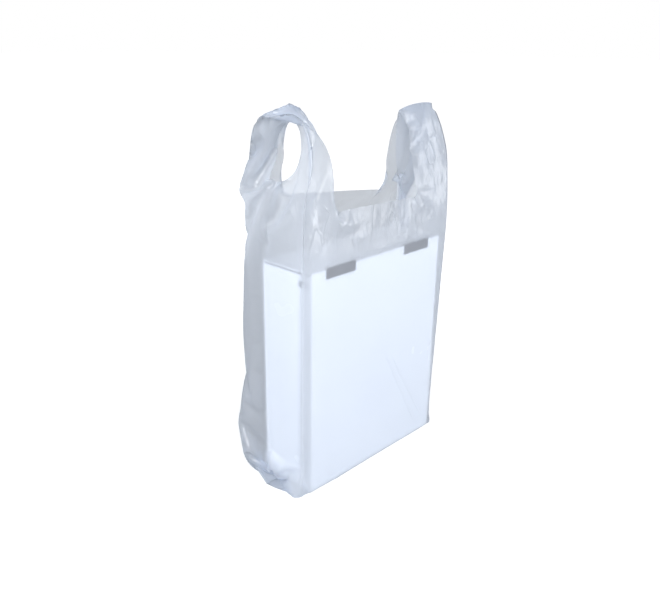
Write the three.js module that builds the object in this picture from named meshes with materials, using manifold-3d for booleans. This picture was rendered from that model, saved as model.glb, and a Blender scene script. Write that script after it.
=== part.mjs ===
// A gusseted vest-style carrier bag of thin plastic film, standing with a closed carton in it.
// Millimetres, +Z up, the carton's broad front face towards -Y. The origin is under the middle of the
// whole object's box, on the surface it stands on.
import * as THREE from 'three';
import { mergeVertices } from 'three/addons/utils/BufferGeometryUtils.js';
import Module from 'manifold-3d';

// Carton, with its near left bottom corner at the working origin while the pieces are laid out.
const CARTON = { width: 252, depth: 85, height: 304 };
const PRESSED_SLOT = { width: 15, height: 8, depth: 1.2, fromFront: 5, fromTop: 12 };

// Closure strips on the carton's front, each lapped a little way over its top edge.
const STRIP = { width: 52, drop: 12, lap: 3, thickness: 0.4, inset: 25.5 };

// Gap between faces that touch, and the wall that stands for the film.
const GAP = 0.3;
const FILM_WALL = 1.0;

// Film: top of the welded handles above the carton's floor, and the lowest point of the mouth.
const HANDLE_TOP = 486;
const MOUTH_LOW = 365;
const MOUTH_CORNER_RADIUS = 18;

// The plane of the front panel's wall, in front of the carton and its strips.
const FRONT_Y = -(GAP + STRIP.thickness + GAP + FILM_WALL / 2);

// The bag's six standing folds, each a line through [height, x, y]. Front and back panels run between
// the outer folds; each side gusset runs from a front fold over its centre crease to a back fold.
const FOLDS = {
  frontLeft: [[0, -14, FRONT_Y], [300, -15, FRONT_Y], [385, -12, FRONT_Y], [440, 2, 2], [HANDLE_TOP, 2, 50]],
  frontRight: [[0, 257, FRONT_Y], [234, 264, FRONT_Y], [300, 268, FRONT_Y], [385, 267, FRONT_Y],
    [450, 266, 4], [HANDLE_TOP, 273, 41]],
  rightCrease: [[0, 259, 60], [300, 263, 70], [365, 272, 42], [450, 272, 34], [HANDLE_TOP, 274, 43.5]],
  backRight: [[0, 263, 114], [300, 277, 118], [365, 283, 84], [450, 278, 64], [HANDLE_TOP, 273, 46]],
  backLeft: [[0, -8, 124], [300, 0, 131], [385, 0, 120], [450, -7, 98], [HANDLE_TOP, 2, 57]],
  leftCrease: [[0, -30, 66], [60, -26, 74], [300, -22, 88], [400, -10, 66], [HANDLE_TOP, 1, 53]],
};

// The outline's sides, in steps, and how far each swells outwards in its middle below the mouth. The
// swelling fades out towards the handle tops.
const SIDES = [
  { from: 'frontLeft', to: 'frontRight', steps: 10, swell: 0 },
  { from: 'frontRight', to: 'rightCrease', steps: 3, swell: 2 },
  { from: 'rightCrease', to: 'backRight', steps: 3, swell: 2 },
  { from: 'backRight', to: 'backLeft', steps: 10, swell: 8 },
  { from: 'backLeft', to: 'leftCrease', steps: 4, swell: 4 },
  { from: 'leftCrease', to: 'frontLeft', steps: 4, swell: 3 },
];
const LEVELS = [0, 30, 60, 120, 180, 234, 300, 335, 365, 385, 400, 425, 450, 468, HANDLE_TOP];

// Mouth cut, straight through from front to back. Its sides fan out towards the back panel, which
// hangs further right than the front one, and lean outwards over the tops of the handles.
const MOUTH = { left: 38, right: 198, leftFan: 0.16, rightFan: 0.42, leanFrom: 436, lean: 16 };
const MOUTH_RUN = { front: -30, back: 170, top: 500 };

// Hand holes through the gussets: the gap between the front and back strips of each handle, as an
// outline in Y and Z drawn out along X.
const HAND_HOLES = {
  left: {
    x: [-60, 90],
    outline: [[24, 412], [68, 412], [84, 428], [80, 448], [55, 474], [44, 474], [16, 446], [16, 422]],
  },
  right: {
    x: [230, 330],
    outline: [[22, 410], [42, 410], [50, 420], [52, 445], [46, 472], [40, 472], [14, 444], [14, 420]],
  },
};

const wasm = await Module();
wasm.setup();

function toSolid(geometry) {
  const plain = geometry.clone();
  plain.deleteAttribute('normal');
  plain.deleteAttribute('uv');
  const merged = mergeVertices(plain, 1e-4);
  return new wasm.Manifold(new wasm.Mesh({
    numProp: 3,
    vertProperties: new Float32Array(merged.attributes.position.array),
    triVerts: new Uint32Array(merged.index.array),
  }));
}

function toGeometry(solid) {
  const mesh = solid.getMesh();
  const geometry = new THREE.BufferGeometry();
  geometry.setAttribute('position', new THREE.BufferAttribute(new Float32Array(mesh.vertProperties), 3));
  geometry.setIndex(new THREE.BufferAttribute(new Uint32Array(mesh.triVerts), 1));
  geometry.computeVertexNormals();
  return geometry;
}

// Closed loft through rings of equal point count, which run anticlockwise as seen from the last ring's
// side. `flatten` gives a ring point's two coordinates in the plane of the end caps.
function loft(rings, flatten) {
  const count = rings[0].length;
  const index = [];
  for (let level = 0; level + 1 < rings.length; level += 1) {
    for (let i = 0; i < count; i += 1) {
      const a = level * count + i;
      const b = level * count + ((i + 1) % count);
      index.push(a, b, b + count, a, b + count, a + count);
    }
  }
  const top = (rings.length - 1) * count;
  for (const [a, b, c] of THREE.ShapeUtils.triangulateShape(rings[0].map(flatten), [])) {
    index.push(a, c, b);
  }
  for (const [a, b, c] of THREE.ShapeUtils.triangulateShape(rings.at(-1).map(flatten), [])) {
    index.push(top + a, top + b, top + c);
  }
  const geometry = new THREE.BufferGeometry().setFromPoints(rings.flat());
  geometry.setIndex(index);
  return geometry;
}

// Where a fold passes a given height.
function foldAt(name, z) {
  const points = FOLDS[name];
  const next = Math.max(1, points.findIndex(([height]) => height >= z));
  const [z0, x0, y0] = points[next - 1];
  const [z1, x1, y1] = points[next];
  const t = (z - z0) / (z1 - z0);
  return new THREE.Vector2(THREE.MathUtils.lerp(x0, x1, t), THREE.MathUtils.lerp(y0, y1, t));
}

// The bag's outline at one height, anticlockwise from above, moved outwards by `offset`.
function outlineAt(z, offset) {
  const swellLeft = THREE.MathUtils.clamp((HANDLE_TOP - z) / (HANDLE_TOP - MOUTH_LOW), 0, 1);
  const outline = SIDES.flatMap(({ from, to, steps, swell }) => {
    const start = foldAt(from, z);
    const end = foldAt(to, z);
    const along = end.clone().sub(start);
    const outward = new THREE.Vector2(along.y, -along.x).normalize();
    return Array.from({ length: steps }, (_, step) => {
      const t = step / steps;
      const bulge = swell * swellLeft * Math.sin(Math.PI * t);
      return start.clone().addScaledVector(along, t).addScaledVector(outward, bulge);
    });
  });
  return outline.map((point, i) => {
    const before = outline[(i + outline.length - 1) % outline.length];
    const after = outline[(i + 1) % outline.length];
    const edgeIn = point.clone().sub(before).normalize();
    const edgeOut = after.clone().sub(point).normalize();
    const mitre = new THREE.Vector2(edgeIn.y + edgeOut.y, -edgeIn.x - edgeOut.x).normalize();
    const reach = Math.max(0.5, mitre.dot(new THREE.Vector2(edgeIn.y, -edgeIn.x)));
    return point.clone().addScaledVector(mitre, offset / reach);
  });
}

function filmLoft(levels, offset) {
  const rings = levels.map((z) => outlineAt(z, offset).map(({ x, y }) => new THREE.Vector3(x, y, z)));
  return loft(rings, ({ x, y }) => new THREE.Vector2(x, y));
}

// The notch between the handles, as an outline in X and Z at one depth, clockwise from the front.
function mouthOutline(y) {
  const left = MOUTH.left + MOUTH.leftFan * y;
  const right = MOUTH.right + MOUTH.rightFan * y;
  const radius = MOUTH_CORNER_RADIUS;
  const points = [[left - MOUTH.lean, MOUTH_RUN.top], [left, MOUTH.leanFrom]];
  const cornerSteps = 5;
  for (const [centreX, startAngle] of [[left + radius, Math.PI], [right - radius, 1.5 * Math.PI]]) {
    for (let step = 0; step <= cornerSteps; step += 1) {
      const angle = startAngle + (0.5 * Math.PI * step) / cornerSteps;
      points.push([centreX + radius * Math.cos(angle), MOUTH_LOW + radius + radius * Math.sin(angle)]);
    }
  }
  points.push([right, MOUTH.leanFrom], [right - MOUTH.lean, MOUTH_RUN.top]);
  return points.map(([x, z]) => new THREE.Vector3(x, y, z)).reverse();
}

function mouthCut() {
  const rings = [mouthOutline(MOUTH_RUN.front), mouthOutline(MOUTH_RUN.back)];
  return toSolid(loft(rings, ({ x, z }) => new THREE.Vector2(x, -z)));
}

function handHoleCut({ x: [from, to], outline }) {
  const rings = [from, to].map((x) => outline.map(([y, z]) => new THREE.Vector3(x, y, z)));
  return toSolid(loft(rings, ({ y, z }) => new THREE.Vector2(y, z)));
}

// The film: a gusseted tube sealed along its bottom and along the top of both handles.
function filmBag() {
  const floorUnder = -(FILM_WALL + GAP);
  const outerLevels = [floorUnder, ...LEVELS.slice(1)];
  const weld = 8;
  const innerLevels = [floorUnder + FILM_WALL, ...LEVELS.slice(1, -1), HANDLE_TOP - weld];
  return toGeometry(
    toSolid(filmLoft(outerLevels, FILM_WALL / 2))
      .subtract(toSolid(filmLoft(innerLevels, -FILM_WALL / 2)))
      .subtract(mouthCut())
      .subtract(handHoleCut(HAND_HOLES.left))
      .subtract(handHoleCut(HAND_HOLES.right)),
  );
}

// The carton, with a shallow pressed slot in its left side near the top.
function carton() {
  const { width, depth, height } = CARTON;
  const block = new THREE.BoxGeometry(width, depth, height).translate(width / 2, depth / 2, height / 2);
  const slot = new THREE.BoxGeometry(2 * PRESSED_SLOT.depth, PRESSED_SLOT.width, PRESSED_SLOT.height);
  slot.translate(
    0,
    PRESSED_SLOT.fromFront + PRESSED_SLOT.width / 2,
    height - PRESSED_SLOT.fromTop - PRESSED_SLOT.height / 2,
  );
  return toGeometry(toSolid(block).subtract(toSolid(slot)));
}

// One strip, bent over the carton's top front edge, as an L section drawn out along X.
function closureStrip() {
  const { drop, lap, thickness, width } = STRIP;
  const inner = -GAP;
  const outer = inner - thickness;
  const profile = new THREE.Shape([
    new THREE.Vector2(outer, -drop),
    new THREE.Vector2(inner, -drop),
    new THREE.Vector2(inner, -inner),
    new THREE.Vector2(lap, -inner),
    new THREE.Vector2(lap, -outer),
    new THREE.Vector2(outer, -outer),
  ]);
  const strip = new THREE.ExtrudeGeometry(profile, { depth: width, bevelEnabled: false });
  // The section is drawn in Y and Z, so its drawing axes are turned onto them.
  strip.applyMatrix4(new THREE.Matrix4().makeBasis(
    new THREE.Vector3(0, 1, 0),
    new THREE.Vector3(0, 0, 1),
    new THREE.Vector3(1, 0, 0),
  ));
  return strip;
}

const film = new THREE.MeshStandardMaterial({
  color: 0xd8e2ee, roughness: 0.3, metalness: 0, transparent: true, opacity: 0.5,
});
const cartonBoard = new THREE.MeshStandardMaterial({ color: 0xf4f7fb, roughness: 0.75, metalness: 0 });
const darkTape = new THREE.MeshStandardMaterial({ color: 0x34363c, roughness: 0.55, metalness: 0 });

function piece(name, geometry, material, position = [0, 0, 0]) {
  const mesh = new THREE.Mesh(geometry, material);
  mesh.name = name;
  mesh.position.set(...position);
  return mesh;
}

const bag = new THREE.Group();
bag.add(piece('film_bag', filmBag(), film));
bag.add(piece('carton', carton(), cartonBoard));
bag.add(piece('closure_strip_left', closureStrip(), darkTape, [STRIP.inset, 0, CARTON.height]));
const rightStripX = CARTON.width - STRIP.inset - STRIP.width;
bag.add(piece('closure_strip_right', closureStrip(), darkTape.clone(), [rightStripX, 0, CARTON.height]));

// Moves the origin from the carton's corner to the middle of the object's footprint.
bag.updateMatrixWorld(true);
const box = new THREE.Box3().setFromObject(bag, true);
const centre = box.getCenter(new THREE.Vector3());
bag.position.set(-centre.x, -centre.y, -box.min.z);

export default bag;
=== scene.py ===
"""A thin translucent vest carrier bag standing round a closed white carton.

The bag starts as its flat pattern: one tube of film with a gusset folded into each side, welded along
the bottom and across the top of both handles, with the mouth and the hand holes cut out. That pattern is
stood up round the carton and relaxed, so its creases come from film that hardly stretches or shrinks.
Film sizes are in millimetres from the carton's front left bottom corner; everything else is in metres.
"""

import math

import bmesh
import bpy
import numpy as np
from mathutils import Matrix, Vector


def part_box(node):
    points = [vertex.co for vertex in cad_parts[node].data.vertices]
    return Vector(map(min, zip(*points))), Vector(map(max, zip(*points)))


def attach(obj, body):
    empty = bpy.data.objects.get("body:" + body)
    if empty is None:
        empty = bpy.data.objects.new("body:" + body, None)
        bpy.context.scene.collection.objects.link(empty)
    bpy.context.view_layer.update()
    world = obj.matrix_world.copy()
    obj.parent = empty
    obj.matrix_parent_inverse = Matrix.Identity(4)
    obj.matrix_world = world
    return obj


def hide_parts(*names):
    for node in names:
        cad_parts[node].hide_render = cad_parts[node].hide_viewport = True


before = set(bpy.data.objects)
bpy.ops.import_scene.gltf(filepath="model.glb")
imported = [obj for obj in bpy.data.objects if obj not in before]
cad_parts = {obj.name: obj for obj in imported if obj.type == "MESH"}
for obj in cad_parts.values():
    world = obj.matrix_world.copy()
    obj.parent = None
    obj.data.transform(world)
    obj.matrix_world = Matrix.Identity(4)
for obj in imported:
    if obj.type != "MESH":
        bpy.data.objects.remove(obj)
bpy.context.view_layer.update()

MM = 0.001

# ---------------------------------------------------------------------------------------------- sizes

CARTON_LOW, CARTON_HIGH = (np.array(corner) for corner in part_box("carton"))
CARTON_SIZE = (CARTON_HIGH - CARTON_LOW) / MM

PANEL = 280.0  # width of the front and of the back of the flat bag
GUSSET = 152.0  # width of each side, folded in half when the bag is flat
STRIP = 61.0  # width of each handle strip, from the outer fold to the cut
MOUTH_HEIGHT = 427.0  # these three are measured up the film from the bottom weld
HOLE_HEIGHT = 463.0
WELD_HEIGHT = 573.0
RIGHT_WELD_HEIGHT = 551.0  # the right handle's film, less what its slack takes up behind
MOUTH_RADIUS = 9.0
HOLE_RADIUS = 18.0
WELD_Y = 58.0  # the bottom weld lies across the floor here
WELD_LEFT, WELD_RIGHT = -26.0, 254.0
BACK_REACH = 145.0  # the film never stands further back than this
FLOOR_GAP = 0.2  # how far the lowest film is above the floor

# On the flat film, in metres. Up it: where it comes off the floor, where it leaves the top of the carton,
# and where it hangs quite free. Round it: where it leaves the carton behind, and where it's back against it.
FOOT_UP, LOAD_TOP_UP, FREE_UP = 0.110, 0.350, 0.400
BEHIND_FROM, BEHIND_TO = (0.28, 0.30), (0.77, 0.80)
# Two faint creases from when the bag was packed, low on the front's right, as (round, up) ends in metres.
PACKING_CREASES = [((0.157, 0.221), (0.244, 0.076)), ((0.171, 0.214), (0.258, 0.084))]
CREASE_WIDTH, CREASE_FADE = 0.0016, 0.02

BOARD_EDGE = 0.7  # rounding of the carton's edges
EDGE_STEPS = 3
LID_BOARD, LID_GAP = 2.0, 2.0  # the lid's board, and the gap under its sides
GAP_DEPTH, GAP_ENDS = 8.0, 1.5  # how deep the gap goes, and how far it stops short of the corners
SLOT_SIZE, SLOT_DEPTH = (15.0, 8.0), 10.0
SLOT_FROM_FRONT, SLOT_FROM_TOP = 5.0, 12.0
CUT_OUTSIDE = 2.0  # how far a cutter starts outside the board

STRIP_CELLS, PANEL_CELLS, GUSSET_CELLS = 10, 11, 2
BODY_CELLS, SHOULDER_CELLS, HANDLE_CELLS = 66, 8, 12
CORNER = 1 - math.cos(math.pi / 4)  # of a rounded corner's radius, up to its middle
EASE_ROWS = 5  # rows over which the grid bends towards a cut
FLOOR = -CARTON_LOW[2] / MM + FLOOR_GAP

# The eight half panels round the bag: the fold each is measured from, the line that its other side ends
# at ("panel" is the middle of the panel), and whether its columns run away from that fold.
HALVES = (
    ("front_left", "panel", True),
    ("front_right", "panel", False),
    ("front_right", "right_crease", True),
    ("back_right", "right_crease", False),
    ("back_right", "panel", True),
    ("back_left", "panel", False),
    ("back_left", "left_crease", True),
    ("front_left", "left_crease", False),
)
FRONT_LEFT, FRONT_RIGHT, RIGHT_FRONT, RIGHT_REAR, BACK_RIGHT, BACK_LEFT, LEFT_REAR, LEFT_FRONT = range(8)
LEFT_HALVES = (FRONT_LEFT, BACK_LEFT, LEFT_REAR, LEFT_FRONT)
RIGHT_HALVES = (FRONT_RIGHT, BACK_RIGHT, RIGHT_FRONT, RIGHT_REAR)
PANEL_HALVES = (FRONT_LEFT, FRONT_RIGHT, BACK_RIGHT, BACK_LEFT)
GUSSET_HALVES = (RIGHT_FRONT, RIGHT_REAR, LEFT_REAR, LEFT_FRONT)
HALVES_FROM_A_FOLD = (FRONT_LEFT, RIGHT_FRONT, RIGHT_REAR, BACK_RIGHT, LEFT_REAR, LEFT_FRONT)

# Where the folds stand, as (height, x, y).
FOLDS = {
    "front_left": [
        (0, -21, 6), (25, -16, -1), (50, -15, -1.6), (300, -15, -1.6), (377, -13, 0), (391, -8, 1),
        (424, 8, 5), (452, 14, 9), (470, 14, 22), (481, 12, 38), (486, 4, 50),
    ],
    "front_right": [
        (0, 255, 0), (147, 255, -1.6), (234, 263, -1.6), (308, 270, -1.6), (352, 269, 0),
        (420, 269, 5), (453, 271, 18), (470, 275, 28), (483, 277, 40),
    ],
    "left_crease": [
        (0, -10, 66), (30, -12, 74), (90, -6, 75), (140, -3, 74), (300, -3, 74), (350, -5, 71),
        (395, -4, 62), (406, -2, 60), (489, 8, 54),
    ],
    "back_left": [
        (0, -17, 118), (30, -12, 124), (80, -2, 127), (140, 10, 130), (300, 19, 130), (370, 15, 126),
        (400, 9, 119), (426, 2, 109), (452, -9, 93), (467, -11, 82), (478, -9, 70),
    ],
    "right_crease": [
        (0, 258, 62), (280, 258, 78), (300, 256, 78), (340, 234, 58), (370, 214, 45),
        (406, 212, 44), (483, 225, 43),
    ],
    "back_right": [
        (0, 262, 118), (280, 276, 112), (330, 281, 90), (370, 283, 66), (420, 280, 60), (483, 272, 44),
    ],
}
# Where the cut edges of the handle strips stand, as (height, x, y).
CUT_EDGES = {
    FRONT_LEFT: [
        (368, 47, 6), (384, 49, 12), (397, 54, 16), (417, 64, 23), (431, 69, 28), (441, 67, 36),
        (456, 62, 50), (467, 54, 60), (477, 41, 59),
    ],
    FRONT_RIGHT: [
        (375, 203, 9), (400, 206, 17), (430, 210, 26), (452, 210, 29), (465, 205, 35), (477, 201, 43),
    ],
    RIGHT_FRONT: [(415, 212, 26), (450, 212, 30), (474, 205, 43)],
    RIGHT_REAR: [(415, 219, 58), (450, 216, 55), (474, 205, 45)],
    BACK_RIGHT: [
        (362, 232, 81), (378, 229, 78), (417, 209, 69), (440, 207, 63), (453, 208, 57),
        (463, 210, 50), (474, 202, 45),
    ],
    BACK_LEFT: [
        (393, 57, 120), (414, 61, 112), (427, 62, 108), (445, 44, 100),
        (471, 38, 88), (478, 40, 73), (481, 40, 64),
    ],
    LEFT_REAR: [(440, 36, 97), (470, 36, 84), (480, 40, 66)],
    LEFT_FRONT: [(410, 39, 60), (420, 41, 59), (438, 44, 61), (465, 47, 69), (477, 41, 63)],
}
# Where the welded top of each handle runs, from the outer fold to the cut, as (x, y, height).
HANDLE_TOPS = {
    LEFT_HALVES: [
        (-11, 58, 479), (-4, 58, 484), (5, 58, 487), (17, 57, 487), (29, 55, 484), (36, 54, 479),
    ],
    RIGHT_HALVES: [(278, 40, 482), (256, 42, 484), (236, 43, 483), (215, 43, 479), (200, 43, 475)],
}

# How the left handle's front strips arch back to their weld, each line at one share of the strip's width
# from its outer fold, as (film below the weld, x, y, height).
ARCHES = {
    (FRONT_LEFT, 0.0): [
        (0, -11, 58, 479), (10, -5, 51, 483), (20, 1, 43, 484.5),
        (32, 7, 33, 482), (44, 11, 24, 476), (56, 13, 17, 467),
    ],
    (FRONT_LEFT, 0.5): [
        (0, 13, 57, 487), (12, 18, 49, 487), (24, 24, 41, 484), (36, 30, 36, 478), (48, 36, 31, 470),
    ],
    (LEFT_FRONT, 0.5): [
        (0, 13, 57, 487), (12, 18, 52, 487), (24, 23, 47, 484), (36, 28, 43, 478), (48, 31, 41, 468),
    ],
}

# The first shape: how much of its slack each part bows out by, and where that starts or stops.
SHALLOW_ARC = 3 / 8  # a shallow arc's rise, squared, is this share of its span times its slack
FOOT_SLACK = 1.5  # film taken up between the floor and the carton's lower front edge
TALLEST = 489.0
FRONT_BOW, RIGHT_BOW = 0.2, 0.6
BOW_CHANGE = 310.0  # the front bows above this height, and the right side below it
TUCK_FROM = 395.0  # the left gusset's front half bows inwards above this height

# How strongly each line leads, as a share of the strength of the moment, and where on the film it starts.
REAR_LEAD, CREASE_LEAD, PANEL_CUT_LEAD, GUSSET_CUT_LEAD, ARCH_LEAD = 0.7, 0.6, 0.8, 0.6, 2
FOLDS_FROM, CREASES_FROM = 0.106, 0.11  # as shares of the film's rows
CUT_LEAD_IN = 5  # a cut edge is led from this far below its line's first point
LEAST_WELD = 0.1  # the handles' welds are never led more weakly than this
WELD_PULL = 0.2  # how strongly the bottom weld is drawn to its place

# The film lies against the carton's front, and against the left side away from its corners.
PRESS, PRESSED_GAP = 0.2, 1.1
FRONT_PRESSED = (4.0, CARTON_SIZE[2] + 2)  # from this height up to this one
SIDE_PRESSED = (30.0, CARTON_SIZE[2])
SIDE_PRESSED_BACK = (12.0, 84.0)  # from this far behind the front up to this far

# The coarse pass and the fine one.
COARSE = {"steps": 900, "leads": (0.4, 0.05), "stiffness": 0.3, "clearance": 2.0, "smoothing": 0.5}
FINE = {"steps": 260, "leads": (0.08, 0.04), "stiffness": 0.35, "clearance": 1.0}
COARSE_NOISE = {"cell": 4, "seed": 3, "size": 1.2}
FINE_NOISE = {"cell": 5, "seed": 8, "size": 0.4}
DIAGONAL_PULL = 0.6
SMOOTH_UNTIL, SMOOTH_EVERY = 0.8, 5
FOOT_CLEARANCE = 0.5  # the film under the carton is at least this far below it


# ------------------------------------------------------------------------------------------- the film

def along(points, height):
    """(x, y) of a line given as (height, x, y) points, at these heights."""
    points = np.array(points, float)
    return np.stack([np.interp(height, points[:, 0], points[:, i]) for i in (1, 2)], -1)


class FlatBag:
    """The flat pattern as a grid of rows up the film and columns round it.

    across is each point's distance from its half panel's outer fold, up its distance from the bottom weld.
    The first column is repeated at the end, which closes the tube.
    """

    def __init__(self, finer):
        self.finer = finer
        self.strip = STRIP_CELLS * finer
        self.mouth_row = BODY_CELLS * finer
        self.hole_row = self.mouth_row + SHOULDER_CELLS * finer
        self.top_row = self.hole_row + HANDLE_CELLS * finer
        self.lay_out_columns()
        self.lay_out_rows()
        self.cut(np.isin(self.half, PANEL_HALVES), self.mouth_row, MOUTH_HEIGHT, MOUTH_RADIUS)
        self.cut(self.is_gusset, self.hole_row, HOLE_HEIGHT, HOLE_RADIUS)
        above = np.maximum(self.up - MOUTH_HEIGHT, 0) * np.isin(self.half, RIGHT_HALVES)
        self.up -= above * (WELD_HEIGHT - RIGHT_WELD_HEIGHT) / (WELD_HEIGHT - MOUTH_HEIGHT)
        self.across = np.concatenate([self.across, self.across[:, :1]], 1)
        self.up = np.concatenate([self.up, self.up[:, :1]], 1)

    def lay_out_columns(self):
        """Columns round the bag, closer together in the handle strips."""
        edge = STRIP + MOUTH_RADIUS * CORNER
        strip = np.linspace(0, edge, self.strip + 1)
        widths = {
            False: np.append(strip, np.linspace(edge, PANEL / 2, PANEL_CELLS * self.finer + 1)[1:]),
            True: np.append(strip, np.linspace(edge, GUSSET / 2, GUSSET_CELLS * self.finer + 1)[1:]),
        }
        half, rank, distance = [], [], []
        self.start, self.cells_across = [], []
        for h, (_, middle, outwards) in enumerate(HALVES):
            marks = widths[middle != "panel"]
            last = len(marks) - 1
            self.start.append(len(half))
            self.cells_across.append(last)
            ranks = range(last) if outwards else range(last, 0, -1)
            half += [h] * last
            rank += list(ranks)
            distance += [marks[r] for r in ranks]
        self.half, self.rank = np.array(half), np.array(rank)
        self.columns = len(half)
        self.is_gusset = np.isin(self.half, GUSSET_HALVES)
        self.across = np.array(distance)

    def lay_out_rows(self):
        """Rows up the bag: up to the mouth, up to the hand holes, and up the handles."""
        mouth = MOUTH_HEIGHT + MOUTH_RADIUS * CORNER
        hole = HOLE_HEIGHT + HOLE_RADIUS * CORNER
        rows = np.concatenate([
            np.linspace(0, mouth, self.mouth_row + 1),
            np.linspace(mouth, hole, self.hole_row - self.mouth_row + 1)[1:],
            np.linspace(hole, WELD_HEIGHT, self.top_row - self.hole_row + 1)[1:],
        ])
        self.across = np.tile(self.across, (len(rows), 1))
        self.up = np.tile(rows[:, None], (1, self.columns))
        self.cell = np.ones((self.top_row, self.columns), bool)

    def cut(self, columns, cut_row, height, radius):
        """Leaves out the cells past a rounded cut and moves the points along it onto its curve."""
        outwards = np.array([HALVES[h][2] for h in self.half])
        inner_rank = np.where(outwards, self.rank, self.rank - 1)
        beyond = (inner_rank >= self.strip) & columns
        self.cell[cut_row:, beyond] = False
        rows_below = cut_row - np.arange(self.top_row + 1)
        ease = np.clip(1 - rows_below / (EASE_ROWS * self.finer), 0, 1)[:, None]

        wide = columns & (self.rank > self.strip)
        gap = np.maximum(STRIP + radius - self.across[0, wide], 0)
        drop = np.sqrt(np.maximum(radius**2 - gap**2, 0)) * (gap > 0)
        edge = height + radius - drop - radius * (gap == 0)
        below = slice(0, cut_row + 1)
        self.up[below, wide] += (edge - self.up[cut_row, wide]) * ease[below]

        narrow = columns & (self.rank <= self.strip)
        rise = np.maximum(height + radius - self.up[:, narrow], 0)
        inner = STRIP + radius - np.sqrt(np.maximum(radius**2 - np.minimum(rise, radius) ** 2, 0))
        inner = np.where(rise > 0, inner, STRIP)
        target = self.rank[narrow] / self.strip * inner
        self.across[:, narrow] += (target - self.across[:, narrow]) * ease

    def column(self, half, rank):
        """The column at this many cells from a half panel's outer fold."""
        offset = rank if HALVES[half][2] else self.cells_across[half] - rank
        return (self.start[half] + offset) % self.columns

    def weld_line(self):
        """Where the bottom weld lies, column by column."""
        across = self.across[0, :-1]
        x = np.where(np.isin(self.half, LEFT_HALVES), WELD_LEFT + across, WELD_RIGHT - across)
        line = np.stack([x, np.full_like(x, WELD_Y), np.full_like(x, FLOOR)], -1)
        return np.concatenate([line, line[:1]])

    def stand_up(self):
        """A first shape: folds on their lines, panels bowed between them, the bottom flat on the floor."""
        shape = np.zeros((self.top_row + 1, self.columns + 1, 3))
        weld = self.weld_line()[:, :2]
        for column, half in enumerate(self.half):
            fold_name, middle_name, outwards = HALVES[half]
            across, up = self.across[:, column], self.up[:, column]
            is_front = half in (FRONT_LEFT, FRONT_RIGHT)
            run = WELD_Y + FOOT_SLACK
            height = np.clip(up - run, 0, TALLEST)
            fold = along(FOLDS[fold_name], height)
            if middle_name == "panel":
                side = fold_name.split("_")[0]
                middle = (along(FOLDS[side + "_left"], height) + along(FOLDS[side + "_right"], height)) / 2
                width = PANEL / 2
            else:
                middle = along(FOLDS[middle_name], height)
                width = GUSSET / 2
            share = across / width
            chord = middle - fold
            span = np.linalg.norm(chord, axis=1)
            bow = np.sqrt(np.maximum(SHALLOW_ARC * span * (width - span), 0))
            bow *= FRONT_BOW * (height > BOW_CHANGE) if is_front else 1.0
            bow *= RIGHT_BOW * (height < BOW_CHANGE) if half in (RIGHT_FRONT, RIGHT_REAR) else 1.0
            bow *= np.where(height > TUCK_FROM, -1, 1) if half == LEFT_FRONT else 1.0
            normal = np.stack([chord[:, 1], -chord[:, 0]], -1) / (span[:, None] + 1e-6)
            normal *= 1.0 if outwards else -1.0
            place = fold + chord * share[:, None] + normal * (bow * np.sin(np.pi * share))[:, None]
            foot = np.clip(up / run, 0, 1)[:, None]
            shape[:, column, :2] = weld[column] * (1 - foot) + place * foot
            shape[:, column, 2] = FLOOR + height
        shape[:, -1] = shape[:, 0]
        return shape


def smooth_noise(shape, cell, seed, size):
    """Soft random offsets over a grid, with one random value every few cells."""
    random = np.random.default_rng(seed)
    knots = random.normal(size=(shape[0] // cell + 3, shape[1] // cell + 3, 3)) * size
    row = np.linspace(0, knots.shape[0] - 1.001, shape[0])
    column = np.linspace(0, knots.shape[1] - 1.001, shape[1])
    r, c = row.astype(int), column.astype(int)
    fr, fc = (row - r)[:, None, None], (column - c)[None, :, None]
    upper = knots[r][:, c] * (1 - fc) + knots[r][:, c + 1] * fc
    lower = knots[r + 1][:, c] * (1 - fc) + knots[r + 1][:, c + 1] * fc
    return upper * (1 - fr) + lower * fr


def pull(a, b, rest, mask, strength):
    """Moves each pair of points towards its rest distance."""
    apart = b - a
    distance = np.sqrt((apart * apart).sum(-1)) + 1e-9
    apart *= (strength * 0.5 * mask * (distance - rest) / distance)[..., None]
    a += apart
    b -= apart


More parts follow.
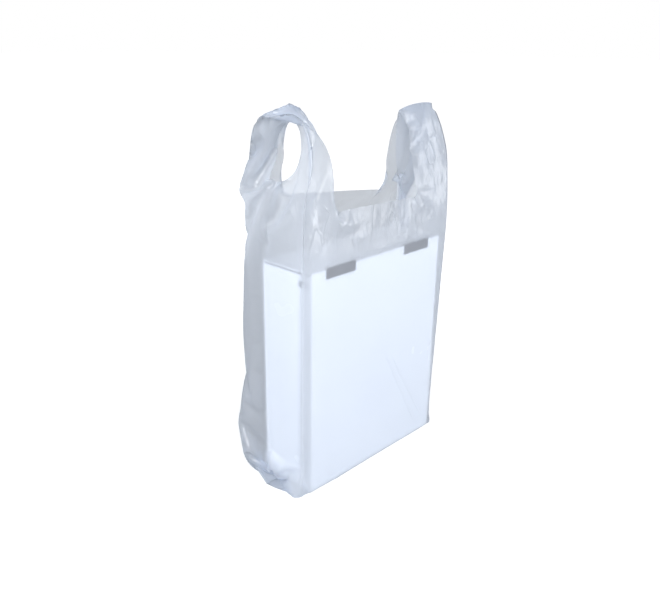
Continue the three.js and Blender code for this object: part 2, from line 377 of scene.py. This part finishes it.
class Film:
    """The bag's film as points that are pulled to their distances on the flat pattern."""

    def __init__(self, bag, points):
        self.bag, self.points = bag, points
        across, up = bag.across, bag.up
        cell = bag.cell
        self.weld_line = bag.weld_line()
        rows_edge = np.zeros((bag.top_row + 1, bag.columns), bool)
        rows_edge[:-1] |= cell
        rows_edge[1:] |= cell
        column_edge = np.roll(cell, 1, 1) | cell
        self.along_row = rows_edge
        self.along_column = np.concatenate([column_edge, column_edge[:, :1]], 1)
        exists = rows_edge | np.roll(rows_edge, 1, 1)
        self.exists = np.concatenate([exists, exists[:, :1]], 1)
        self.row_rest = np.hypot(np.diff(across, axis=1), np.diff(up, axis=1))
        self.column_rest = np.hypot(np.diff(across, axis=0), np.diff(up, axis=0))
        self.rising_rest = np.hypot(across[1:, 1:] - across[:-1, :-1], up[1:, 1:] - up[:-1, :-1])
        self.falling_rest = np.hypot(across[1:, :-1] - across[:-1, 1:], up[1:, :-1] - up[:-1, 1:])
        self.is_fold = np.zeros(bag.columns + 1, bool)
        for half in HALVES_FROM_A_FOLD:
            self.is_fold[bag.start[half]] = True
        self.is_fold[-1] = True
        straight = ~self.is_fold[1:-1][None]
        self.bend_row = rows_edge[:, :-1] & rows_edge[:, 1:] & straight
        self.bend_row_rest = self.row_rest[:, :-1] + self.row_rest[:, 1:]
        self.bend_column = self.along_column[:-1] & self.along_column[1:]
        self.bend_column_rest = self.column_rest[:-1] + self.column_rest[1:]

    def stretch(self):
        """Pulls every cell's edges and diagonals to their flat lengths, alternate ones at a time."""
        p = self.points
        for first in (0, 1):
            a, b = p[:, first:-1:2], p[:, first + 1::2]
            pull(a, b, self.row_rest[:, first::2], self.along_row[:, first::2], 1.0)
            self.close_tube(keep_last=first == 1)
        for first in (0, 1):
            a, b = p[first:-1:2], p[first + 1::2]
            pull(a, b, self.column_rest[first::2], self.along_column[first::2], 1.0)
        for first in (0, 1):
            low, high = p[first:-1:2], p[first + 1::2]
            mask = self.bag.cell[first::2]
            pull(low[:, :-1], high[:, 1:], self.rising_rest[first::2], mask, DIAGONAL_PULL)
            low[:, -1] = low[:, 0]
            high[:, 0] = high[:, -1]
            pull(low[:, 1:], high[:, :-1], self.falling_rest[first::2], mask, DIAGONAL_PULL)
            low[:, 0] = low[:, -1]
            high[:, -1] = high[:, 0]

    def close_tube(self, keep_last=False):
        """Makes the repeated column agree with the first one."""
        if keep_last:
            self.points[:, 0] = self.points[:, -1]
        else:
            self.points[:, -1] = self.points[:, 0]

    def bend(self, strength):
        """Straightens the film over every second point, but not across its folds."""
        p = self.points
        for first in range(4):
            a, b = p[:, first:-2:4], p[:, first + 2::4]
            pull(a, b, self.bend_row_rest[:, first::4], self.bend_row[:, first::4], strength)
        p[:, 0] = p[:, -1] = (p[:, 0] + p[:, -1]) / 2
        for first in range(4):
            a, b = p[first:-2:4], p[first + 2::4]
            pull(a, b, self.bend_column_rest[first::4], self.bend_column[first::4], strength)

    def smooth(self, strength):
        """Evens out the film away from its folds, and the folds along themselves."""
        p, e = self.points, self.exists
        inside = e[1:-1, :-2] & e[1:-1, 2:] & e[:-2, 1:-1] & e[2:, 1:-1] & ~self.is_fold[1:-1][None]
        around = (p[1:-1, :-2] + p[1:-1, 2:] + p[:-2, 1:-1] + p[2:, 1:-1]) / 4
        p[1:-1, 1:-1] += (strength * inside)[..., None] * (around - p[1:-1, 1:-1])
        f = np.where(self.is_fold)[0]
        between = e[:-2][:, f] & e[1:-1][:, f] & e[2:][:, f]
        p[1:-1, f] += (strength * between)[..., None] * ((p[:-2][:, f] + p[2:][:, f]) / 2 - p[1:-1][:, f])
        self.close_tube()

    def keep_out_of_carton(self, clearance):
        """Puts points in the carton onto its nearest face, and keeps all above the floor and within reach."""
        p = self.points
        low = np.array([-clearance, -clearance, -FOOT_CLEARANCE])
        high = CARTON_SIZE + clearance
        inside = ((p > low) & (p < high)).all(-1)
        if inside.any():
            q = p[inside]
            nearest = np.concatenate([q - low, high - q], 1).argmin(1)
            axis = nearest % 3
            q[np.arange(len(q)), axis] = np.where(nearest < 3, low[axis], high[axis])
            p[inside] = q
        np.maximum(p[..., 2], FLOOR, out=p[..., 2])
        np.minimum(p[..., 1], BACK_REACH, out=p[..., 1])

    def weld_bottom(self):
        """Holds the four layers together along the bottom weld."""
        bag, row = self.bag, self.points[0]
        for front, back, gusset_front, gusset_rear in (
            (FRONT_LEFT, BACK_LEFT, LEFT_FRONT, LEFT_REAR),
            (FRONT_RIGHT, BACK_RIGHT, RIGHT_FRONT, RIGHT_REAR),
        ):
            ranks = range(bag.cells_across[front] + 1)
            gusset_ranks = range(bag.cells_across[gusset_front] + 1)
            outer = [[bag.column(half, r) for r in ranks] for half in (front, back)]
            inner = [[bag.column(half, r) for r in gusset_ranks] for half in (gusset_front, gusset_rear)]
            across, gusset_across = bag.across[0, outer[0]], bag.across[0, inner[0]]
            panels = row[outer].mean(0)
            on_panels = resample(gusset_across, across, panels)
            gussets = (on_panels + row[inner].sum(0)) / 3
            on_gussets = resample(across, gusset_across, gussets)
            near = (across <= GUSSET / 2)[:, None]
            panels = np.where(near, (panels + on_gussets) / 2, panels)
            row[inner] = gussets
            row[outer] = panels
        row += WELD_PULL * (self.weld_line - row)
        self.close_tube()

    def weld_handles(self, strength):
        """Holds the four layers of each handle together along its top, near its line."""
        bag = self.bag
        for halves, top in HANDLE_TOPS.items():
            columns = [[bag.column(half, r) for r in range(bag.strip + 1)] for half in halves]
            top = np.array(top, float)
            run = np.append(0, np.cumsum(np.linalg.norm(np.diff(top, axis=0), axis=1)))
            target = resample(np.linspace(0, run[-1], bag.strip + 1), run, top)
            line = self.points[-1, columns].mean(0)
            self.points[-1, columns] = line + strength * (target - line)
        self.close_tube()

    def lead(self, column, line, rows, strength, from_height=-5):
        """Leads a column of points towards a standing line."""
        part = self.points[rows, column]
        active = (part[:, 2] >= from_height) & self.exists[rows, column]
        part[:, :2] += (strength * active)[:, None] * (along(line, part[:, 2]) - part[:, :2])

    def lead_arch(self, column, arch, strength):
        """Leads the top of a column of points towards a line given by the film's length below the weld."""
        below_weld = WELD_HEIGHT - self.bag.up[:, column]
        near = below_weld < arch[-1, 0]
        target = resample(below_weld[near], arch[:, 0], arch[:, 1:])
        self.points[near, column] += strength * (target - self.points[near, column])

    def lead_all(self, strength):
        """Leads the folds, the left handle's arches and the cut edges, and lays the film on the carton."""
        bag, start = self.bag, self.bag.start
        standing = slice(int(FOLDS_FROM * bag.top_row), bag.top_row - 2 * bag.finer)
        creased = slice(int(CREASES_FROM * bag.top_row), bag.hole_row + 1)
        self.lead(start[FRONT_LEFT], FOLDS["front_left"], standing, strength)
        self.lead(start[RIGHT_FRONT], FOLDS["front_right"], standing, strength)
        self.lead(start[BACK_RIGHT], FOLDS["back_right"], standing, strength * REAR_LEAD)
        self.lead(start[LEFT_REAR], FOLDS["back_left"], standing, strength * REAR_LEAD)
        self.lead(start[RIGHT_REAR], FOLDS["right_crease"], creased, strength * CREASE_LEAD)
        self.lead(start[LEFT_FRONT], FOLDS["left_crease"], creased, strength * CREASE_LEAD)
        for (half, share), arch in ARCHES.items():
            column = bag.column(half, round(share * bag.strip))
            self.lead_arch(column, np.array(arch, float), ARCH_LEAD * strength)
        for half, line in CUT_EDGES.items():
            is_gusset = half in GUSSET_HALVES
            rows = slice(bag.hole_row if is_gusset else bag.mouth_row, bag.top_row)
            share = GUSSET_CUT_LEAD if is_gusset else PANEL_CUT_LEAD
            self.lead(bag.column(half, bag.strip), line, rows, strength * share, line[0][0] - CUT_LEAD_IN)
        self.lie_on_carton()
        self.close_tube()

    def lie_on_carton(self):
        """Draws the film towards the carton's front and left side, where it is beside them."""
        start, last = self.bag.start, self.bag.cells_across[LEFT_FRONT]
        front = self.points[:, start[FRONT_LEFT] + 1:start[RIGHT_FRONT]]
        beside = within(front[..., 2], FRONT_PRESSED)
        front[..., 1] += PRESS * beside * (-PRESSED_GAP - front[..., 1])
        side = self.points[:, start[LEFT_REAR]:start[LEFT_FRONT] + last]
        beside = within(side[..., 2], SIDE_PRESSED) & within(side[..., 1], SIDE_PRESSED_BACK)
        side[..., 0] += PRESS * beside * (-PRESSED_GAP - side[..., 0])

    def relax(self, steps, leads, stiffness, clearance, smoothing=0.0):
        """Settles the film. leads is how strongly the lines lead at the start and at the end."""
        for step in range(steps):
            done = step / (steps - 1)
            strength = leads[0] * (1 - done) + leads[1] * done
            if smoothing and done < SMOOTH_UNTIL and step % SMOOTH_EVERY == 0:
                self.smooth(smoothing * (1 - done))
            self.lead_all(strength)
            self.weld_handles(max(strength, LEAST_WELD))
            self.bend(stiffness)
            self.stretch()
            self.weld_bottom()
            self.keep_out_of_carton(clearance)


def within(values, limits):
    """Where the values lie between two limits."""
    return (values > limits[0]) & (values < limits[1])


def resample(at, marks, values):
    """Rows of values, known at some marks, read off at other places."""
    return np.stack([np.interp(at, marks, values[:, i]) for i in range(values.shape[1])], -1)


def twice_as_fine(points):
    """The same grid of points with one more halfway between each two."""
    rows, columns = points.shape[0] * 2 - 1, points.shape[1] * 2 - 1
    fine = np.zeros((rows, columns, 3))
    fine[::2, ::2] = points
    fine[1::2, ::2] = (points[1:] + points[:-1]) / 2
    fine[:, 1::2] = (fine[:, 2::2] + fine[:, :-2:2]) / 2
    return fine


def relaxed_film():
    """The bag's film standing round the carton: a coarse pass for its shape, a fine one for its creases."""
    bag = FlatBag(1)
    points = bag.stand_up()
    points += smooth_noise(points.shape[:2], **COARSE_NOISE)
    film = Film(bag, points)
    film.close_tube()
    film.relax(**COARSE)
    fine = twice_as_fine(film.points)
    fine += smooth_noise(fine.shape[:2], **FINE_NOISE)
    film = Film(FlatBag(2), fine)
    film.close_tube()
    film.relax(**FINE)
    return film


# ------------------------------------------------------------------------------------- making meshes

def mesh_object(name, vertices, faces, smooth=True):
    """A new object in the scene from vertices and faces."""
    mesh = bpy.data.meshes.new(name)
    mesh.from_pydata(vertices, [], faces)
    mesh.validate()
    if smooth:
        mesh.polygons.foreach_set("use_smooth", [True] * len(mesh.polygons))
    obj = bpy.data.objects.new(name, mesh)
    bpy.context.scene.collection.objects.link(obj)
    return obj


def box_cutter(low, high):
    """A plain block that cuts a slot and isn't part of the scene."""
    corners = [(x, y, z) for x in (low[0], high[0]) for y in (low[1], high[1]) for z in (low[2], high[2])]
    faces = [(0, 1, 3, 2), (4, 6, 7, 5), (0, 4, 5, 1), (2, 3, 7, 6), (0, 2, 6, 4), (1, 5, 7, 3)]
    return mesh_object("cutter", corners, faces, smooth=False)


def carton_object(material):
    """The carton, with worn edges, a gap under each side of its lid and a pressed slot in its left side."""
    bm = bmesh.new()
    size, middle = CARTON_HIGH - CARTON_LOW, (CARTON_HIGH + CARTON_LOW) / 2
    bmesh.ops.create_cube(bm, size=1.0, matrix=Matrix.Translation(middle) @ Matrix.Diagonal((*size, 1.0)))
    rounding = {"offset": BOARD_EDGE * MM, "segments": EDGE_STEPS, "profile": 0.5, "affect": "EDGES"}
    bmesh.ops.bevel(bm, geom=bm.edges[:], **rounding)
    block = bpy.data.meshes.new("carton_block")
    bm.to_mesh(block)
    bm.free()
    carton = bpy.data.objects.new("carton_block", block)
    bpy.context.scene.collection.objects.link(carton)

    width, depth, height = CARTON_SIZE
    slot_low = np.array([-CUT_OUTSIDE, SLOT_FROM_FRONT, height - SLOT_FROM_TOP - SLOT_SIZE[1]])
    slot_high = np.array([SLOT_DEPTH, SLOT_FROM_FRONT + SLOT_SIZE[0], slot_low[2] + SLOT_SIZE[1]])
    cuts = [(slot_low, slot_high)]
    for side in (0, width):
        gap_low = np.array([side - GAP_DEPTH, GAP_ENDS, height - LID_BOARD - LID_GAP])
        gap_high = np.array([side + GAP_DEPTH, depth - GAP_ENDS, height - LID_BOARD])
        cuts.append((gap_low, gap_high))
    cutters = []
    for low, high in cuts:
        cutter = box_cutter(low * MM + CARTON_LOW, high * MM + CARTON_LOW)
        cutters.append(cutter)
        carton.modifiers.new("cut", "BOOLEAN").object = cutter
    shape = carton.evaluated_get(bpy.context.evaluated_depsgraph_get())
    mesh = bpy.data.meshes.new_from_object(shape)
    mesh.name = "carton_board_box"
    obj = bpy.data.objects.new("carton_board_box", mesh)
    bpy.context.scene.collection.objects.link(obj)
    for spare in (carton, *cutters):
        bpy.data.objects.remove(spare)
    mesh.materials.clear()
    mesh.materials.append(material)
    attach(obj, "root")
    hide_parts("carton")


def film_object(film, material):
    """The film as one sheet of quads, with its flat pattern kept as a UV map in metres."""
    bag = film.bag
    points = film.points[:, :-1].reshape(-1, 3) * MM + CARTON_LOW
    index = np.arange(points.shape[0]).reshape(bag.top_row + 1, bag.columns)
    right = np.roll(index, -1, 1)
    quads = np.stack([index[:-1], right[:-1], right[1:], index[1:]], -1)[bag.cell]
    used, compact = np.unique(quads, return_inverse=True)
    obj = mesh_object("film_bag_sheet", points[used].tolist(), compact.reshape(quads.shape).tolist())
    girth = np.append(0, np.cumsum(film.row_rest[0]))
    flat = np.stack([np.tile(girth, (bag.top_row + 1, 1)), bag.up], -1) * MM
    corners = np.stack([flat[:-1, :-1], flat[:-1, 1:], flat[1:, 1:], flat[1:, :-1]], 2)[bag.cell]
    uv = obj.data.uv_layers.new(name="flat")
    uv.data.foreach_set("uv", corners.reshape(-1))
    obj.data.materials.append(material)
    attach(obj, "root")
    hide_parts("film_bag")


# ------------------------------------------------------------------------------------------ materials

MOTTLE_RANGE = (0.2, 0.8)  # of the noise that is spread over the whole mask

# Crumpled film. Scales are cells to a metre, and a stretch below 1 draws the cells out along that way.
CRUMPLE_DRIFT = 0.7
FACET_RISE = 0.5
FOLD_SCALE, FOLD_WIDTH, FOLD_RISE = 0.8, 0.025, 0.3
BROAD_STRETCH, BROAD_SCALE = (1.0, 0.45, 1.0), 34.0
SMALL_STRETCH, SMALL_SCALE, SMALL_HEIGHT = (1.0, 0.4, 1.0), 110.0, 0.3
DIE_LINE_STRETCH, DIE_LINE_HEIGHT = (700.0, 6.0, 1.0), 0.03
PACKING_HEIGHT = 0.5
LYING_CREASES = 0.04  # what is left of the creases where the film lies against the load
BEHIND_CREASES = 0.5  # and where it stands behind the load
CREASE_DEPTH, SOFT_DEPTH = 0.0014, 0.0006  # metres, for the film's sheen and for its glow

FILM_TINT = ((0.85, 0.876, 0.928, 1), (0.866, 0.892, 0.94, 1))
FILM_MOTTLE, FILM_ROUGHNESS, FILM_IOR = 8.0, (0.2, 0.3), 1.9
CLEAR_TINT = (0.91, 0.95, 1.0, 1)
CLEAR_SHARE = 0.27  # of the light goes straight through
GLOW_SHARE = 0.76  # of the rest is scattered through

BOARD = {
    "tint": ((0.88, 0.89, 0.92, 1), (0.91, 0.92, 0.94, 1)),
    "mottle_scale": 30.0,
    "roughness": (0.42, 0.55),
    "grain_scale": 900.0,
    "depth": 0.00008,
}
TAPE = {
    "tint": ((0.165, 0.168, 0.185, 1), (0.205, 0.208, 0.225, 1)),
    "mottle_scale": 60.0,
    "roughness": (0.35, 0.5),
    "grain_scale": 600.0,
    "depth": 0.00005,
}


class Nodes:
    """Short calls for building one node tree."""

    def __init__(self, tree):
        self.tree = tree
        tree.nodes.clear()

    def add(self, kind, inputs=None, **settings):
        """A new node, with each input given as a value or as the socket that feeds it."""
        node = self.tree.nodes.new("ShaderNode" + kind)
        for key, value in settings.items():
            setattr(node, key, value)
        for key, value in (inputs or {}).items():
            socket = node.inputs[key]
            if isinstance(value, bpy.types.NodeSocket):
                self.tree.links.new(value, socket)
            else:
                socket.default_value = value
        return node

    def math(self, operation, *values):
        """The result of one sum."""
        return self.add("Math", dict(enumerate(values)), operation=operation).outputs[0]

    def between(self, value, low, high, to_low=0.0, to_high=1.0):
        """A value taken from one range to another, and kept inside it."""
        inputs = {"Value": value, "From Min": low, "From Max": high, "To Min": to_low, "To Max": to_high}
        return self.add("MapRange", inputs).outputs["Result"]

    def noise(self, vector, scale, detail=3.0):
        """Soft noise, about 0.5 on the whole."""
        inputs = {"Vector": vector, "Scale": scale, "Detail": detail}
        return self.add("TexNoise", inputs).outputs["Fac"]

    def stretched(self, vector, scale):
        """A place scaled by a different amount along each way."""
        return self.add("Mapping", {"Vector": vector, "Scale": scale}).outputs["Vector"]

    def blend(self, factor, a, b):
        """Two colours mixed."""
        return self.add("Mix", {0: factor, 6: a, 7: b}, data_type="RGBA").outputs[2]

    def bump(self, height, distance):
        """The normal of a surface raised by a height, where a height of 1 is this distance."""
        return self.add("Bump", {"Height": height, "Distance": distance}).outputs["Normal"]


def new_material(name):
    """An empty material and its node builder."""
    material = bpy.data.materials.new(name)
    material.use_nodes = True
    return material, Nodes(material.node_tree)


def new_group(name, inputs, outputs):
    """An empty node group: its node builder, its input sockets and its output sockets."""
    tree = bpy.data.node_groups.new(name, "ShaderNodeTree")
    n = Nodes(tree)
    for socket, kind in inputs.items():
        tree.interface.new_socket(socket, in_out="INPUT", socket_type="NodeSocket" + kind)
    for socket, kind in outputs.items():
        tree.interface.new_socket(socket, in_out="OUTPUT", socket_type="NodeSocket" + kind)
    return n, tree.nodes.new("NodeGroupInput").outputs, tree.nodes.new("NodeGroupOutput").inputs


def mottle_group():
    """Soft uneven patches, as a mask and as a colour between two tints."""
    inputs = {"Vector": "Vector", "Scale": "Float", "Deep": "Color", "Pale": "Color"}
    n, given, made = new_group("mottled_tint", inputs, {"Colour": "Color", "Mask": "Float"})
    mask = n.between(n.noise(given["Vector"], given["Scale"], detail=4.0), *MOTTLE_RANGE)
    n.tree.links.new(mask, made["Mask"])
    n.tree.links.new(n.blend(mask, given["Deep"], given["Pale"]), made["Colour"])
    return n.tree


def grain_group():
    """A fine even grain in the surface."""
    inputs = {"Vector": "Vector", "Scale": "Float", "Depth": "Float"}
    n, given, made = new_group("fine_grain", inputs, {"Normal": "Vector"})
    grain = n.noise(given["Vector"], given["Scale"])
    n.tree.links.new(n.bump(grain, given["Depth"]), made["Normal"])
    return n.tree


def crumple_group():
    """The height of crumpled film: flat facets that meet in sharp creases."""
    inputs = {"Vector": "Vector", "Scale": "Float"}
    n, given, made = new_group("film_crumple", inputs, {"Height": "Float"})
    drifting = {"Vector": given["Vector"], "Scale": given["Scale"], "Detail": 2.0}
    drift = n.add("TexNoise", drifting).outputs["Color"]
    amount = n.math("DIVIDE", CRUMPLE_DRIFT, given["Scale"])
    moved = n.add("VectorMath", {0: drift, "Scale": amount}, operation="SCALE").outputs["Vector"]
    warped = n.add("VectorMath", {0: given["Vector"], 1: moved}, operation="ADD").outputs["Vector"]
    cells = n.add("TexVoronoi", {"Vector": warped, "Scale": given["Scale"]}, feature="DISTANCE_TO_EDGE")
    facets = n.between(cells.outputs["Distance"], 0.0, FACET_RISE, 0.0, FACET_RISE)
    folds = n.noise(warped, n.math("MULTIPLY", given["Scale"], FOLD_SCALE), detail=2.0)
    off_fold = n.math("ABSOLUTE", n.math("SUBTRACT", folds, 0.5))
    folds = n.between(off_fold, 0.0, FOLD_WIDTH, FOLD_RISE, 0.0)
    n.tree.links.new(n.math("ADD", facets, folds), made["Height"])
    return n.tree


def straight_crease(n, flat, start, end):
    """A thin straight ridge between two points of the flat film, fading out at both ends."""
    start, end = Vector(start), Vector(end)
    along_it = (end - start).normalized()
    place = n.add("VectorMath", {0: flat, 1: (*start, 0.0)}, operation="SUBTRACT").outputs["Vector"]
    dots = [n.add("VectorMath", {0: place, 1: (*way, 0.0)}, operation="DOT_PRODUCT").outputs["Value"]
            for way in (along_it, Vector((-along_it.y, along_it.x)))]
    length = (end - start).length
    ridge = n.between(n.math("ABSOLUTE", dots[1]), 0.0, CREASE_WIDTH, 1.0, 0.0)
    from_start = n.between(dots[0], 0.0, CREASE_FADE)
    from_end = n.between(dots[0], length, length - CREASE_FADE)
    return n.math("MULTIPLY", ridge, n.math("MULTIPLY", from_start, from_end))


def film_height(n, flat, crumple):
    """Creases where the film hangs free above the load, and only faint ones where it lies against it."""
    place = n.add("SeparateXYZ", {0: flat}).outputs
    above = n.between(place["Y"], LOAD_TOP_UP, FREE_UP, LYING_CREASES, 1.0)
    below = n.between(place["Y"], FOOT_UP, 0.0, 0.0, 1.0)
    to_behind = n.between(place["X"], *BEHIND_FROM)
    from_behind = n.between(place["X"], *BEHIND_TO, BEHIND_CREASES, 0.0)
    behind = n.math("MULTIPLY", to_behind, from_behind)
    free = n.math("MAXIMUM", above, n.math("MAXIMUM", below, behind))
    broad = {"Vector": n.stretched(flat, BROAD_STRETCH), "Scale": BROAD_SCALE}
    small = {"Vector": n.stretched(flat, SMALL_STRETCH), "Scale": SMALL_SCALE}
    broad = n.add("Group", broad, node_tree=crumple).outputs["Height"]
    small = n.add("Group", small, node_tree=crumple).outputs["Height"]
    die_lines = n.noise(n.stretched(flat, DIE_LINE_STRETCH), 1.0, detail=2.0)
    creases = n.math("ADD", broad, n.math("MULTIPLY", small, SMALL_HEIGHT))
    height = n.math("ADD", n.math("MULTIPLY", creases, free), n.math("MULTIPLY", die_lines, DIE_LINE_HEIGHT))
    for start, end in PACKING_CREASES:
        crease = straight_crease(n, flat, start, end)
        height = n.math("ADD", height, n.math("MULTIPLY", crease, PACKING_HEIGHT))
    return height


def film_material(mottle, crumple):
    """Milky film: part of the light is scattered back, most is scattered through, some goes straight."""
    material, n = new_material("milky_film")
    flat = n.add("UVMap", uv_map="flat").outputs["UV"]
    tint = {"Vector": flat, "Scale": FILM_MOTTLE, "Deep": FILM_TINT[0], "Pale": FILM_TINT[1]}
    body = n.add("Group", tint, node_tree=mottle).outputs
    height = film_height(n, flat, crumple)
    creased, softened = n.bump(height, CREASE_DEPTH), n.bump(height, SOFT_DEPTH)
    gloss = n.add("BsdfPrincipled", {
        "Base Color": body["Colour"],
        "Roughness": n.between(body["Mask"], 0.0, 1.0, *FILM_ROUGHNESS),
        "IOR": FILM_IOR,
        "Specular IOR Level": 1.0,
        "Normal": creased,
    }).outputs[0]
    glow = n.add("BsdfTranslucent", {"Color": body["Colour"], "Normal": softened}).outputs[0]
    clear = n.add("BsdfTransparent", {"Color": CLEAR_TINT}).outputs[0]
    milky = n.add("MixShader", {0: GLOW_SHARE, 1: gloss, 2: glow}).outputs[0]
    film = n.add("MixShader", {0: CLEAR_SHARE, 1: milky, 2: clear}).outputs[0]
    n.add("OutputMaterial", {"Surface": film})
    return material


def plain_material(name, mottle, grain, tint, mottle_scale, roughness, grain_scale, depth):
    """An opaque surface with uneven patches and a fine grain."""
    material, n = new_material(name)
    place = n.add("TexCoord").outputs["Object"]
    tinted = {"Vector": place, "Scale": mottle_scale, "Deep": tint[0], "Pale": tint[1]}
    patches = n.add("Group", tinted, node_tree=mottle).outputs
    grained = {"Vector": place, "Scale": grain_scale, "Depth": depth}
    surface = n.add("BsdfPrincipled", {
        "Base Color": patches["Colour"],
        "Roughness": n.between(patches["Mask"], 0.0, 1.0, *roughness),
        "Normal": n.add("Group", grained, node_tree=grain).outputs["Normal"],
    }).outputs[0]
    n.add("OutputMaterial", {"Surface": surface})
    return material


# ------------------------------------------------------------------------------------- camera, light

CAMERA_PLACE = Vector((-0.6761, -0.6270, 0.5686))
CAMERA_YAW, CAMERA_PITCH, CAMERA_ROLL = math.radians(43.92), math.radians(20.18), math.radians(0.68)
CAMERA_LENS, CAMERA_SENSOR = 38.59, 36.0

SOFT_WHITE = (0.97, 0.985, 1.0)
SOFTBOXES = {  # place, what it points at, size in metres, watts
    "key": ((-1.27, -1.03, 1.25), (0, 0, 0.2), (1.1, 1.1), 47),
    "strip": ((1.0, -1.15, 0.65), (0, 0, 0.35), (0.4, 1.2), 14),
    "left": ((-1.6, 0.55, 0.7), (0, 0, 0.3), (0.8, 1.2), 7),
    "top": ((0.1, 0.3, 1.9), (0, 0, 0.2), (1.4, 1.4), 3),
}
ROOM_TINT, ROOM_LIGHT = (0.93, 0.96, 1.0, 1), 0.2

FLOOR_HALF = 20  # half of the floor's side
FLOOR_TINT = ((0.34, 0.35, 0.36, 1), (0.36, 0.37, 0.38, 1))
FLOOR_PATCHES, FLOOR_RANGE = 3.0, (0.3, 0.7)
# The floor is lifted towards white as it goes away from the middle: over these metres, by these strengths.
LIFT_REACH, LIFT_STRENGTH = (0.15, 0.9), (0.72, 1.0)


def add_camera():
    """The camera, standing in front of the bag's left corner and looking a little down."""
    data = bpy.data.cameras.new("camera")
    data.sensor_width = CAMERA_SENSOR
    data.lens = CAMERA_LENS
    data.clip_start, data.clip_end = 0.01, 50.0
    camera = bpy.data.objects.new("camera", data)
    bpy.context.scene.collection.objects.link(camera)
    level = math.cos(CAMERA_PITCH)
    aim = Vector((math.cos(CAMERA_YAW) * level, math.sin(CAMERA_YAW) * level, -math.sin(CAMERA_PITCH)))
    turn = aim.to_track_quat("-Z", "Y").to_matrix() @ Matrix.Rotation(CAMERA_ROLL, 3, "Z")
    camera.matrix_world = Matrix.Translation(CAMERA_PLACE) @ turn.to_4x4()
    bpy.context.scene.camera = camera


def add_softbox(name, place, target, size, watts):
    """A soft rectangular light, turned towards its target."""
    data = bpy.data.lights.new(name, "AREA")
    data.shape = "RECTANGLE"
    data.size, data.size_y = size
    data.energy = watts
    data.color = SOFT_WHITE
    light = bpy.data.objects.new(name, data)
    bpy.context.scene.collection.objects.link(light)
    place, target = Vector(place), Vector(target)
    turn = (target - place).to_track_quat("-Z", "Y").to_matrix()
    light.matrix_world = Matrix.Translation(place) @ turn.to_4x4()


def add_surroundings():
    """White all round for the camera, and dimmer as a light."""
    world = bpy.data.worlds.new("studio")
    bpy.context.scene.world = world
    world.use_nodes = True
    n = Nodes(world.node_tree)
    seen = n.add("LightPath").outputs["Is Camera Ray"]
    dim = n.add("Background", {"Color": ROOM_TINT, "Strength": ROOM_LIGHT}).outputs[0]
    white = n.add("Background", {"Color": (1, 1, 1, 1), "Strength": 1.0}).outputs[0]
    n.add("OutputWorld", {"Surface": n.add("MixShader", {0: seen, 1: dim, 2: white}).outputs[0]})


def add_floor():
    """A wide pale floor, lifted towards the white around it for the camera only."""
    near, far = -FLOOR_HALF, FLOOR_HALF
    corners = [(near, near, 0), (far, near, 0), (far, far, 0), (near, far, 0)]
    floor = mesh_object("floor", corners, [(0, 1, 2, 3)])
    material, n = new_material("pale_floor")
    place = n.add("TexCoord").outputs["Object"]
    shade = n.between(n.noise(place, FLOOR_PATCHES), *FLOOR_RANGE)
    colour = n.blend(shade, *FLOOR_TINT)
    paint = n.add("BsdfDiffuse", {"Color": colour}).outputs[0]
    away = n.add("VectorMath", {0: place}, operation="LENGTH").outputs["Value"]
    lift = n.add("Emission", {"Strength": n.between(away, *LIFT_REACH, *LIFT_STRENGTH)}).outputs[0]
    seen = n.add("LightPath").outputs["Is Camera Ray"]
    black = n.add("Emission", {"Strength": 0.0}).outputs[0]
    lifted = n.add("MixShader", {0: seen, 1: black, 2: lift}).outputs[0]
    n.add("OutputMaterial", {"Surface": n.add("AddShader", {0: paint, 1: lifted}).outputs[0]})
    floor.data.materials.append(material)


# ------------------------------------------------------------------------------------------- assembly

add_camera()
add_surroundings()
for light_name, light_values in SOFTBOXES.items():
    add_softbox(light_name, *light_values)
add_floor()
bpy.context.scene.view_settings.view_transform = "Standard"

mottle, grain = mottle_group(), grain_group()
film_object(relaxed_film(), film_material(mottle, crumple_group()))
carton_object(plain_material("coated_board", mottle, grain, **BOARD))
tape = plain_material("dark_tape", mottle, grain, **TAPE)
for node in ("closure_strip_left", "closure_strip_right"):
    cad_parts[node].data.materials.clear()
    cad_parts[node].data.materials.append(tape)
